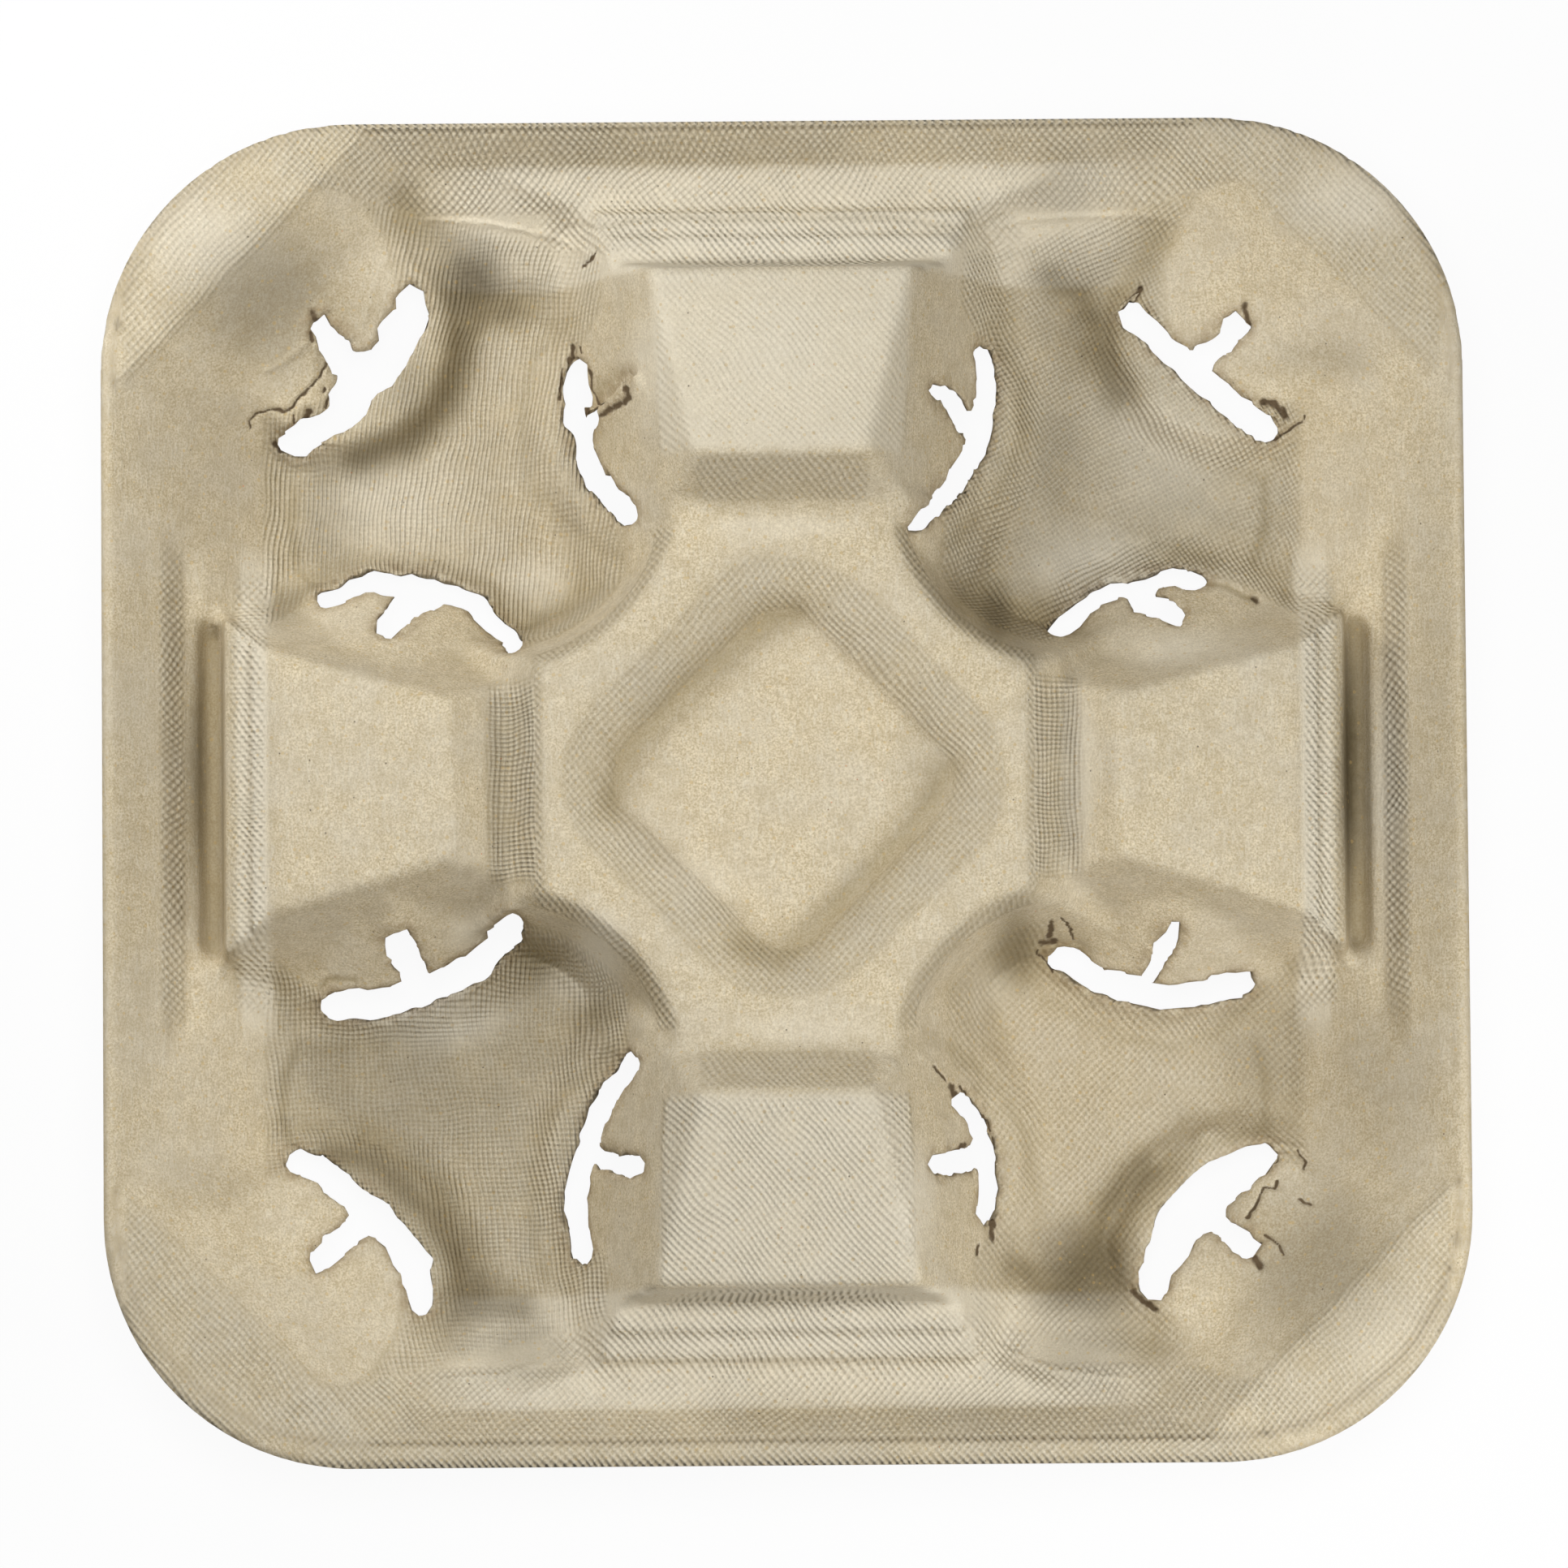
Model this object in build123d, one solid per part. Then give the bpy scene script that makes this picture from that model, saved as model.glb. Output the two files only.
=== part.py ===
from build123d import *
import os
from math import atan2, cos, degrees, radians, sin, tan

# Moulded-fibre carrier tray for four cups, in millimetres.
# The origin is under the middle of the tray, on the surface that the pocket floors rest on.
# +X runs along the longer side, through the two low bridges, and +Z points up.
#
# The sheet is made as it is moulded, between two dies. die(0) is the form of the upper face,
# die(sheet) is the same form with every face moved into the fibre by the sheet's thickness,
# and the tray is what lies between the two. The form is the same on both sides of X and of Y.
# All the sizes below are measured from the middle of the form.

# The sheet and its trimmed outline. The sheet was trimmed a little off the middle of its form,
# so that the form lies this far towards +Y.
sheet = 1.8
tray_length = 213.0
tray_width = 210.4
corner_radius = 39.0
press_shift = 1.5

# The rim: a narrow flat strip all round, a little above the corner decks
rim_height = 24.0
rim_strip_x = 1.9
rim_strip_y = 2.3
rim_step = 0.7

# The pan: sloping outer walls that run from the rim down to the pocket floors. On the Y sides
# they are steep at the top, down to the level of the ledge, and gentler below it.
pan_foot_x = 78.7
pan_foot_y = 74.5
pan_corner_reach = 118.7
pan_corner_slope = 40.0

# The hub: a raised square with a neck to each bridge and a dished middle. The dish falls
# gently from its mouth to a shoulder, then steeply to its floor.
hub_height = 34.0
hub_side_reach = 37.6
hub_side_slope = 58.0
dish_mouth_reach = 31.0
dish_mouth_radius = 18.9
dish_shoulder_reach = 24.0
dish_shoulder_radius = 11.0
dish_shoulder_depth = 3.0
dish_floor_reach = 19.5
dish_floor_radius = 6.0
dish_depth = 8.0

# The round walls that the hub keeps around each cup
cup_x = 45.5
cup_y = 46.0
cup_wall_radius = 29.3
cup_wall_slope = 73.0

# The two high bridges, on the Y sides
high_outer_reach = 79.3
high_inner_reach = 49.6
high_outer_level = 35.0
high_inner_level = 45.0
high_outer_half = 20.5
high_flank_slope = 64.0
high_flank_turn = 4.6
high_riser_slope = 79.0
high_inner_slope = 58.5

# The two treads outside a high bridge, and the ledge at the foot of the outer wall's steep part
tread_slope = 74.0
tread_1_reach = 85.4
tread_1_level = 22.6
tread_2_reach = 89.7
tread_2_level = 19.6
ledge_reach = 97.0
ledge_level = 15.8
ledge_wall_slope = 52.0
ledge_half = 46.0
ledge_end_turn = 68.0
ledge_end_slope = 55.0

# The two low bridges, on the X sides
low_outer_reach = 80.2
low_inner_reach = 52.1
low_outer_level = 26.0
low_inner_level = 33.0
low_outer_half = 20.4
low_flank_slope = 66.0
low_flank_turn = 9.7
low_inner_slope = 42.0

# The lip outside a low bridge, the deep trench behind it, and the shelf behind the trench
lip_reach = 87.4
lip_level = 20.6
lip_top_slope = 12.0
lip_bead_reach = 83.0
lip_bead_level = 24.2
lip_flare = 32.0
lip_end_slope = 80.0
lip_wall_slope = 85.0
trench_reach = 92.3
trench_level = 3.6
trench_half = 27.4
trench_wall_slope = 70.0
trench_end_slope = 62.0
shelf_reach = 97.3
shelf_wall_slope = 58.0
shelf_level = 12.2
shelf_half = 36.0
shelf_end_slope = 30.0

# The bulges that grip a cup: one on each bridge's flank and one in the corner.
# foot_x, foot_y and foot give the circle where a bulge meets the floor. x, y and radius give
# the circle that its slot follows, where the slope of the tab above the slot begins. top is
# the level where a tab has run into its bridge.
bulge_level = 7.5
foot_slope = 52.0
bulges = {
    "high": {"foot_x": 15.5, "foot_y": 57.0, "foot": 25.3, "x": 12.0, "y": 61.0, "radius": 21.2, "slope": 60.0,
             "top": 30.0},
    "low": {"foot_x": 62.3, "foot_y": 10.6, "foot": 28.5, "x": 63.0, "y": 8.0, "radius": 25.3, "slope": 46.0,
            "top": 25.0},
    "corner": {"foot_x": 71.5, "foot_y": 74.0, "foot": 23.2, "x": 79.0, "y": 79.0, "radius": 21.6, "slope": 20.0},
}

# The slots torn through the sheet along the bulges, and a leg torn from each into its tab.
# A row gives the bulge, the pocket (the signs of its X and Y), then the slot's start, middle and
# end and the leg's tip as (angle, distance outside the bulge's circle), then the two widths.
slots = [
    ("high", -1, 1, (15, -0.5), (-15, -0.7), (-57, 1.0), (9, -9.0), 3.3, 2.2),
    ("high", 1, 1, (20, 0.0), (-16, -1.5), (-69, 1.0), (-3, -8.5), 3.2, 3.3),
    ("high", -1, -1, (30, 2.2), (-12, -1.0), (-54, 0.0), (-4, -9.3), 3.4, 3.0),
    ("high", 1, -1, (19, -1.6), (-9, -2.0), (-37, -2.0), (-4, -9.5), 2.8, 3.3),
    ("low", -1, 1, (69, -1.2), (107, 0.5), (145, -0.7), (94, -7.5), 3.2, 4.3),
    ("low", 1, 1, (85, -0.8), (113, 0.0), (140, 0.5), (95, -7.0), 3.1, 3.4),
    ("low", -1, -1, (72, 1.5), (104, -1.0), (145, -1.0), (98, -9.5), 3.9, 4.2),
    ("low", 1, -1, (69, -0.6), (108, 0.4), (137, 2.0), (99, -9.5), 3.5, 2.8),
    ("corner", -1, 1, (265, 1.8), (222, -1.3), (184, -0.8), (220, -13.0), 4.4, 3.4),
    ("corner", 1, 1, (263, 1.4), (222, -1.8), (190, 2.6), (222, -11.8), 3.9, 3.8),
    ("corner", -1, -1, (264, -0.5), (221, -2.0), (176, -0.2), (224, -14.0), 3.9, 3.4),
    ("corner", 1, -1, (258, -0.6), (222, -1.6), (181, 0.6), (222, -12.0), 4.4, 3.6),
]

# Slopes are measured from the horizontal, headings from +X towards +Y
block_size = 400.0
block_drop = 60.0


def drafted(x, y, level, heading, slope):
    """A face through a point, as (point, outward normal)."""
    flat = sin(radians(slope))
    normal = Vector(cos(radians(heading)) * flat, sin(radians(heading)) * flat, cos(radians(slope)))
    return Vector(x, y, level), normal


def side(reach, level, heading, slope):
    """A drafted face that stands `reach` from the middle of the form, square to its heading."""
    turn = radians(heading)
    return drafted(reach * cos(turn), reach * sin(turn), level, heading, slope)


def bounded(faces, shift):
    """The convex solid inside the given faces, each face first moved outwards by shift."""
    solid = Pos(0, 0, block_size / 2 - block_drop) * Box(block_size, block_size, block_size)
    for point, normal in faces:
        solid = split(solid, bisect_by=Plane(origin=point + normal * shift, z_dir=normal), keep=Keep.BOTTOM)
    return solid


def both_x(solid):
    return solid + mirror(solid, about=Plane.YZ)


def both_y(solid):
    return solid + mirror(solid, about=Plane.XZ)


def slope_between(rise, run):
    return degrees(atan2(rise, run))


def cone(x, y, radius, level, slope, shift, low, high):
    """A cone about a vertical axis that narrows upwards and has the given radius at a level."""
    def radius_at(z):
        return radius - (z - level) / tan(radians(slope)) + shift / sin(radians(slope))

    tip = level + radius_at(level) * tan(radians(slope))
    top = min(high, tip)
    frustum = Cone(radius_at(low), max(round(radius_at(top), 4), 0), top - low)
    return Pos(x, y, (low + top) / 2) * frustum


def outline(grow):
    """The rounded square of the trimmed rim, as a tall prism."""
    shape = RectangleRounded(tray_length + 2 * grow, tray_width + 2 * grow, corner_radius + grow)
    return Pos(0, -press_shift, -block_drop) * extrude(shape, amount=2 * block_drop)


deck = rim_height - rim_step
deck_edge = tray_length / 2 - rim_strip_x
pan_slope_x = slope_between(deck - sheet, deck_edge - pan_foot_x)
pan_slope_y = slope_between(ledge_level - sheet, ledge_reach - pan_foot_y)


def pan(inset):
    """The rim, the corner decks and the sloping outer walls, hollowed down to the pocket floors."""
    body = bounded([drafted(0, 0, rim_height, 0, 0)], -inset)
    strip = RectangleRounded(
        tray_length - 2 * rim_strip_x + 2 * inset,
        tray_width - 2 * rim_strip_y + 2 * inset,
        corner_radius - rim_strip_x + inset,
    )
    body -= Pos(0, 0, deck - inset) * extrude(strip, amount=block_drop)
    walls = [drafted(0, 0, sheet, 0, 180)]
    for heading in (0, 180):
        walls.append(side(deck_edge, deck, heading, 180 - pan_slope_x))
    for heading in (90, 270):
        walls.append(side(ledge_reach, ledge_level, heading, 180 - ledge_wall_slope))
        walls.append(side(ledge_reach, ledge_level, heading, 180 - pan_slope_y))
    for heading in (45, 135, 225, 315):
        walls.append(side(pan_corner_reach, deck, heading, 180 - pan_corner_slope))
    return body - bounded(walls, inset)


def high_bridge(inset):
    """A high bridge between two pockets: a ramp that climbs towards the hub, and the steps outside it."""
    flanks = [
        drafted(high_outer_half, high_outer_reach, high_outer_level, -high_flank_turn, high_flank_slope),
        drafted(-high_outer_half, high_outer_reach, high_outer_level, 180 + high_flank_turn, high_flank_slope),
    ]
    inner = drafted(0, high_inner_reach, high_inner_level, 270, high_inner_slope)
    ramp = slope_between(high_inner_level - high_outer_level, high_outer_reach - high_inner_reach)
    body = bounded(flanks + [
        inner,
        side(high_outer_reach, high_outer_level, 90, ramp),
        side(high_outer_reach, high_outer_level, 90, high_riser_slope),
    ], -inset)
    for reach, level in ((tread_1_reach, tread_1_level), (tread_2_reach, tread_2_level)):
        body += bounded(flanks + [inner, side(reach, level, 90, tread_slope), drafted(0, 0, level, 0, 0)], -inset)
    body += bounded([
        inner,
        side(tray_width / 2, ledge_level, 90, 90),
        drafted(0, 0, ledge_level, 0, 0),
        drafted(ledge_half, ledge_reach, ledge_level, -ledge_end_turn, ledge_end_slope),
        drafted(-ledge_half, ledge_reach, ledge_level, 180 + ledge_end_turn, ledge_end_slope),
    ], -inset)
    return body


def low_bridge(inset):
    """A low bridge: a ramp towards the hub, a slope down to the hub's foot, and the lip outside it."""
    ramp = slope_between(low_inner_level - low_outer_level, low_outer_reach - low_inner_reach)
    flanks = [
        drafted(low_outer_reach, low_outer_half, low_outer_level, 90 + low_flank_turn, low_flank_slope),
        drafted(low_outer_reach, -low_outer_half, low_outer_level, 270 - low_flank_turn, low_flank_slope),
    ]
    inner = drafted(low_inner_reach, 0, low_inner_level, 180, low_inner_slope)
    outer = side(lip_reach, lip_level, 0, lip_wall_slope)
    body = bounded(flanks + [
        inner,
        side(low_outer_reach, low_outer_level, 0, ramp),
        side(low_outer_reach, low_outer_level, 0, tread_slope),
    ], -inset)
    ends = [
        drafted(low_outer_reach, low_outer_half, low_outer_level, 90 + lip_flare, lip_end_slope),
        drafted(low_outer_reach, -low_outer_half, low_outer_level, 270 - lip_flare, lip_end_slope),
    ]
    for top in (
        [side(lip_bead_reach, lip_bead_level, 0, lip_top_slope), side(lip_bead_reach, lip_bead_level, 0, tread_slope)],
        [side(lip_reach, lip_level, 0, lip_top_slope)],
    ):
        body += bounded(ends + top + [inner, outer], -inset)
    return body


def trench(inset):
    """The shelf cut into the outer wall beside a low bridge, and the deep trench between them."""
    shelf_edge = deck - (deck_edge - shelf_reach) * tan(radians(pan_slope_x))
    shelf = bounded([
        side(shelf_reach, shelf_edge, 0, 180 - shelf_wall_slope),
        drafted(0, 0, shelf_level, 0, 180),
        drafted(0, shelf_half, shelf_level, 90, 180 - shelf_end_slope),
        drafted(0, -shelf_half, shelf_level, 270, 180 - shelf_end_slope),
        drafted(low_outer_reach, 0, 0, 180, 90),
    ], inset)
    slot = bounded([
        side(trench_reach, shelf_level, 0, 180 - trench_wall_slope),
        drafted(0, 0, trench_level, 0, 180),
        drafted(0, trench_half, shelf_level, 90, 180 - trench_end_slope),
        drafted(0, -trench_half, shelf_level, 270, 180 - trench_end_slope),
        drafted(low_outer_reach, 0, 0, 180, 90),
    ], inset)
    return shelf + slot


def diamond(low, high, bottom, inset):
    """A hollow that widens upwards through two rounded diamonds, each given as (level, reach, radius)."""
    rise = high[0] - low[0]
    grow = inset / sin(radians(slope_between(rise, high[1] - low[1])))

    def ring(level):
        part = (level - low[0]) / rise
        reach = low[1] + part * (high[1] - low[1]) + grow
        radius = low[2] + part * (high[2] - low[2]) + grow
        return Pos(0, 0, level) * Rot(0, 0, 45) * RectangleRounded(2 * reach, 2 * reach, radius)

    return loft([ring(bottom - inset), ring(hub_height + sheet)], ruled=True)


def dish(inset):
    """The hollow in the hub: a gentle brim over a steeper bowl."""
    mouth = (hub_height, dish_mouth_reach, dish_mouth_radius)
    shoulder = (hub_height - dish_shoulder_depth, dish_shoulder_reach, dish_shoulder_radius)
    floor = (hub_height - dish_depth, dish_floor_reach, dish_floor_radius)
    brim = diamond(shoulder, mouth, shoulder[0] - sheet, inset)
    return brim + diamond(floor, shoulder, floor[0], inset)


def hub(inset):
    """The hub, with its side slopes and the round walls that it keeps around the cups."""
    body = bounded([
        drafted(0, 0, hub_height, 0, 0),
        side(hub_side_reach, hub_height, 0, hub_side_slope),
        side(hub_side_reach, hub_height, 180, hub_side_slope),
        side(high_inner_reach, 0, 90, 90),
        side(high_inner_reach, 0, 270, 90),
    ], -inset)
    reach = block_drop / tan(radians(cup_wall_slope))
    grow = inset / sin(radians(cup_wall_slope))
    wall = Cone(cup_wall_radius - reach + grow, cup_wall_radius + reach + grow, 2 * block_drop)
    for x in (cup_x, -cup_x):
        for y in (cup_y, -cup_y):
            body -= Pos(x, y, hub_height) * wall
    return body


def bulge(name, inset):
    """One bulge of the +X +Y pocket: a foot that rises to the slot, and the tab above it."""
    form = bulges[name]
    foot = cone(form["foot_x"], form["foot_y"], form["foot"], sheet, foot_slope, -inset, -block_drop, block_size)
    body = foot & bounded([drafted(0, 0, bulge_level, 0, 0)], -inset)
    if name == "corner":
        middle = cos(radians(45)) * form["radius"]
        return body + (foot & bounded([
            drafted(form["x"] - middle, form["y"] - middle, bulge_level, 225, form["slope"]),
        ], -inset))
    return body + cone(form["x"], form["y"], form["radius"], bulge_level, form["slope"], -inset,
                       -block_drop, form["top"] - inset)


def tear(name, sign_x, sign_y, start, middle, end, tip, width, leg_width):
    """The cutter of one slot and its leg."""
    form = bulges[name]

    def point(place):
        angle, outside = place
        reach = form["radius"] + outside
        return sign_x * (form["x"] + reach * cos(radians(angle))), sign_y * (form["y"] + reach * sin(radians(angle)))

    slot = SlotArc(ThreePointArc(point(start), point(middle), point(end)), height=width)
    leg = SlotArc(Line(point(middle), point(tip)), height=leg_width)
    return Pos(0, 0, -sheet) * extrude(slot + leg, amount=hub_height)


def die(inset):
    """The form of the sheet's upper face, moved into the fibre by inset."""
    body = pan(inset) - both_x(trench(inset))
    body += both_y(high_bridge(inset)) + both_x(low_bridge(inset)) + hub(inset)
    body += both_x(both_y(bulge("high", inset) + bulge("low", inset) + bulge("corner", inset)))
    spread = 2 * sheet if inset else 0
    return (body - dish(inset)) & outline(spread)


tray = die(0) - die(sheet)
for row in slots:
    tray -= tear(*row)
tray = Pos(0, press_shift, 0) * tray
print("solids", len(tray.solids()), "volume", round(tray.volume), "valid", tray.is_valid)
print("box", tray.bounding_box())

os.makedirs("parts", exist_ok=True)
export_step(tray, "parts/carrier_tray.step")
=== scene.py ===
# %% [markdown]
# # A moulded-fibre tray for four cups
#
# The tray is one sheet of recycled paper fibre. Wet pulp is sucked onto a die covered with wire
# screen, pressed, dried, and then torn along a few slots so that tabs can grip the cups.
# This file dresses the measured solid of that sheet: it softens the folds, frays the tears,
# and gives the fibre its colour, its flecks and the print of the screen.

from math import cos, pi, radians, sin

import bmesh
import bpy
import numpy as np
from mathutils import Matrix, Vector, noise
from mathutils.bvhtree import BVHTree


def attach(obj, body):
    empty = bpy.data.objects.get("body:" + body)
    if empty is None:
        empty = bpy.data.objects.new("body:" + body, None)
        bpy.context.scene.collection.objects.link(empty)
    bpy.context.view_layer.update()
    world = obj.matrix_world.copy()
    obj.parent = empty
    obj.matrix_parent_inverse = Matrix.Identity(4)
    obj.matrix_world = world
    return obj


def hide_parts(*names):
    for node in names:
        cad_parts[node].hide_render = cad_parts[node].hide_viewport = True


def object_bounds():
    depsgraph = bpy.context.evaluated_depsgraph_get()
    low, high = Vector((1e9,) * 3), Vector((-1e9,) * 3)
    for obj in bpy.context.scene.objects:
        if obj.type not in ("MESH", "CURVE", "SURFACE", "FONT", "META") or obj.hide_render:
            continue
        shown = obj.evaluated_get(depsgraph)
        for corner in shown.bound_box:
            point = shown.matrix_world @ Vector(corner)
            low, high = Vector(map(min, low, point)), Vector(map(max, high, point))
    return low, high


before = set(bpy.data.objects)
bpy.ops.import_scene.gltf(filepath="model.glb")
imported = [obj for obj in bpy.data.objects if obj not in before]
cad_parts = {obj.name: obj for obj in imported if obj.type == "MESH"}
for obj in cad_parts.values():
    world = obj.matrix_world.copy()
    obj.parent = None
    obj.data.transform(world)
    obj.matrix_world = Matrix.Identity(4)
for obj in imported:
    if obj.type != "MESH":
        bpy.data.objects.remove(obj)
noise.seed_set(4)  # without a seed the vector noise differs from run to run
solid_box = [list(corner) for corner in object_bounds()]
print("solid box, metres:", solid_box)

# %% [markdown]
# ## The camera
#
# The photograph looks almost straight down, from far off and a little from the near side, which
# shows in how the tall bridges lean over the far pockets. The tray lies turned by half a degree.

# %% Set up the camera
mm = 0.001
frame_pixels = 1932
pixels_per_mm = 7.9
rim_height = 24 * mm
camera_distance = 2000 * mm
toward_camera = Vector((0, -0.08, 1)).normalized()
camera_roll = radians(-0.45)
shift_right, shift_up = -1, 7.5  # of the picture, in pixels

camera_data = bpy.data.cameras.new("camera")
camera = bpy.data.objects.new("camera", camera_data)
bpy.context.collection.objects.link(camera)
bpy.context.scene.camera = camera

north = (Vector((0, 1, 0)) - toward_camera * toward_camera.y).normalized()
east = north.cross(toward_camera)
right = east * cos(camera_roll) + north * sin(camera_roll)
up = north * cos(camera_roll) - east * sin(camera_roll)
turn = Matrix((right, up, toward_camera)).transposed().to_4x4()
stand = Vector((0, 0, rim_height)) + toward_camera * camera_distance
camera.matrix_world = Matrix.Translation(stand) @ turn

view_width = frame_pixels / pixels_per_mm * mm
camera_data.sensor_width = 36
camera_data.lens = camera_data.sensor_width * camera_distance / view_width
camera_data.shift_x = shift_right / frame_pixels
camera_data.shift_y = shift_up / frame_pixels
print("lens", round(camera_data.lens, 1), "mm")

# %% [markdown]
# ## Node maths in plain Python
#
# A procedural finish is mostly arithmetic on positions. Written as nodes it is hard to read, so a
# small class wraps a socket and turns +, - and * into Math nodes. Everything that isn't plain
# arithmetic comes from one method, `add`, which sets a node's settings first and then its sockets.

# %% Wrap sockets so that they can be added and multiplied
class Wire:
    """A socket of a finish, with arithmetic."""

    def __init__(self, finish, socket):
        self.finish, self.socket = finish, socket

    def join(self, operation, first, second):
        return self.finish.add("ShaderNodeMath", {"operation": operation}, {0: first, 1: second})

    def __add__(self, other):
        return self.join("ADD", self, other)

    def __sub__(self, other):
        return self.join("SUBTRACT", self, other)

    def __rsub__(self, other):
        return self.join("SUBTRACT", other, self)

    def __mul__(self, other):
        return self.join("MULTIPLY", self, other)

    def beside(self, output):
        """Another output of the same node."""
        return Wire(self.finish, self.socket.node.outputs[output])


class Finish:
    """A material with an empty node tree and one method that adds any node."""

    def __init__(self, name):
        self.material = bpy.data.materials.new(name)
        self.material.use_nodes = True
        self.tree = self.material.node_tree
        self.tree.nodes.clear()

    def add(self, kind, settings=None, sockets=None, out=0):
        """A new node, as a wire from its first output or from the one that `out` names."""
        node = self.tree.nodes.new(kind)
        for name, value in (settings or {}).items():
            setattr(node, name, value)
        for name, value in (sockets or {}).items():
            if isinstance(value, Wire):
                self.tree.links.new(value.socket, node.inputs[name])
            else:
                node.inputs[name].default_value = value
        return Wire(self, node.outputs[out]) if node.outputs else None


# %% [markdown]
# ## Floor and light
#
# The floor is a plain pale sheet. The camera sees it near white, as in the photograph, and it
# still takes a soft shadow. A broad lamp hangs above. Two small ones stand close to the far left
# and the near right corner, which is why those corners are bright and the other two are not. Two
# weak ones fill in from the sides.

# %% Lay the floor
floor_half_width = 2
floor_height = -0.2 * mm
floor_glow = 0.93


def make_floor():
    floor_mesh = bpy.data.meshes.new("floor")
    bm = bmesh.new()
    bmesh.ops.create_grid(bm, x_segments=1, y_segments=1, size=floor_half_width)
    bmesh.ops.translate(bm, verts=bm.verts, vec=(0, 0, floor_height))
    bm.to_mesh(floor_mesh)
    bm.free()
    floor = bpy.data.objects.new("floor", floor_mesh)
    bpy.context.collection.objects.link(floor)
    paper = Finish("white_backdrop")
    rays = paper.add("ShaderNodeLightPath")
    seen = rays
    for kind in ("Is Glossy Ray", "Is Transmission Ray"):
        seen = seen.join("MAXIMUM", seen, rays.beside(kind))
    surface = paper.add("ShaderNodeBsdfDiffuse", {}, {"Color": (0.8, 0.8, 0.8, 1)})
    glow = paper.add("ShaderNodeEmission", {}, {"Color": (1, 1, 1, 1), "Strength": 1.0})
    mixed = paper.add("ShaderNodeMixShader", {}, {0: seen * floor_glow, 1: surface, 2: glow})
    paper.add("ShaderNodeOutputMaterial", {}, {"Surface": mixed})
    floor_mesh.materials.append(paper.material)
    return floor


floor = make_floor()
print("floor:", 2 * floor_half_width, "m wide, its top at z", floor.data.vertices[0].co.z)

# %% Hang the lamps
world = bpy.data.worlds.new("studio")
bpy.context.scene.world = world
world.use_nodes = True
background = world.node_tree.nodes["Background"].inputs
background["Color"].default_value = (1, 1, 1, 1)
background["Strength"].default_value = 0.05


def hang_lamp(name, azimuth, elevation, distance, size, watts):
    """A round soft lamp that looks at the tray from a compass direction and a height."""
    lamp_data = bpy.data.lights.new(name, "AREA")
    lamp_data.shape = "DISK"
    lamp_data.size = size
    lamp_data.energy = watts
    lamp = bpy.data.objects.new(name, lamp_data)
    bpy.context.collection.objects.link(lamp)
    bearing, rise = radians(azimuth), radians(elevation)
    away = Vector((cos(rise) * cos(bearing), cos(rise) * sin(bearing), sin(rise)))
    lamp.location = away * distance
    lamp.rotation_euler = away.to_track_quat("Z", "Y").to_euler()
    return lamp


hang_lamp("lamp_above", 90, 88, 1.2, 0.6, 8.7)
hang_lamp("lamp_far_left", 135, 34, 0.32, 0.12, 0.33)
hang_lamp("lamp_near_right", 315, 34, 0.32, 0.12, 0.29)
hang_lamp("lamp_left", 180, 30, 1.2, 0.45, 1.2)
hang_lamp("lamp_right", 0, 30, 1.2, 0.45, 1.3)
print("lamps:", len(bpy.data.lights))

# %% [markdown]
# ## The sheet
#
# The solid has flat faces and clean corners. Real pulp has neither: the fibre can't follow a sharp
# corner of the die, and it shrinks as it dries. A voxel remesh gives the sheet an even skin of
# small quads that smoothing and noise can then move about. Modelling the folds one by one would
# take far longer and look stiffer.

# %% Copy the solid and give it an even skin
def with_modifiers(form):
    """A new mesh of the form, as its modifiers leave it."""
    bpy.context.view_layer.update()
    graph = bpy.context.evaluated_depsgraph_get()
    return bpy.data.meshes.new_from_object(form.evaluated_get(graph))


def triangles_in(form):
    return sum(len(face.vertices) - 2 for face in form.data.polygons)


def even_skin(node, name, voxel):
    """A copy of a CAD node's mesh, merged, then remeshed in even quads."""
    form = bpy.data.objects.new(name, node.data.copy())
    bpy.context.collection.objects.link(form)
    bm = bmesh.new()
    bm.from_mesh(form.data)
    bmesh.ops.remove_doubles(bm, verts=bm.verts, dist=0.01 * mm)
    bm.to_mesh(form.data)
    bm.free()
    remesh = form.modifiers.new("even skin", "REMESH")
    remesh.mode = "VOXEL"
    remesh.voxel_size = voxel
    remesh.use_smooth_shade = True
    skin = with_modifiers(form)
    form.modifiers.clear()
    form.data = skin
    skin.materials.clear()
    return form


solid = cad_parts["carrier_tray"]
tray = even_skin(solid, "moulded_tray", 1.05 * mm)
print("skin:", len(tray.data.vertices), "vertices,", triangles_in(tray), "triangles")

# %% [markdown]
# ## Where the sheet was torn
#
# Only the cuts have upright walls, so the upright faces of the solid tell where the sheet ends:
# those near the outline are the trimmed rim, and the others are the tears. Each point of the skin
# keeps its distance from the nearest tear and from the rim, because the folds stay put there, the
# edges fray there, and the fibre is browner there.

# %% Measure how far each point is from a tear and from the rim
farthest = 8 * mm
rim_band = 88 * mm  # an upright face farther out than this is the trimmed rim


def cut_walls(node):
    """The solid's upright faces, as one search tree for the tears and one for the rim."""
    points = [vertex.co.copy() for vertex in node.data.vertices]
    walls = {"tears": [], "rim": []}
    for face in node.data.polygons:
        if abs(face.normal.z) < 0.01:
            at_rim = max(abs(face.center.x), abs(face.center.y)) > rim_band
            walls["rim" if at_rim else "tears"].append(list(face.vertices))
    return {name: BVHTree.FromPolygons(points, faces) for name, faces in walls.items()}


def distances(points, tree):
    """The distance of each point from the tree's nearest face, up to the farthest that counts."""
    found = [tree.find_nearest(point, farthest)[3] for point in points]
    return np.array([farthest if distance is None else distance for distance in found])


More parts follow.
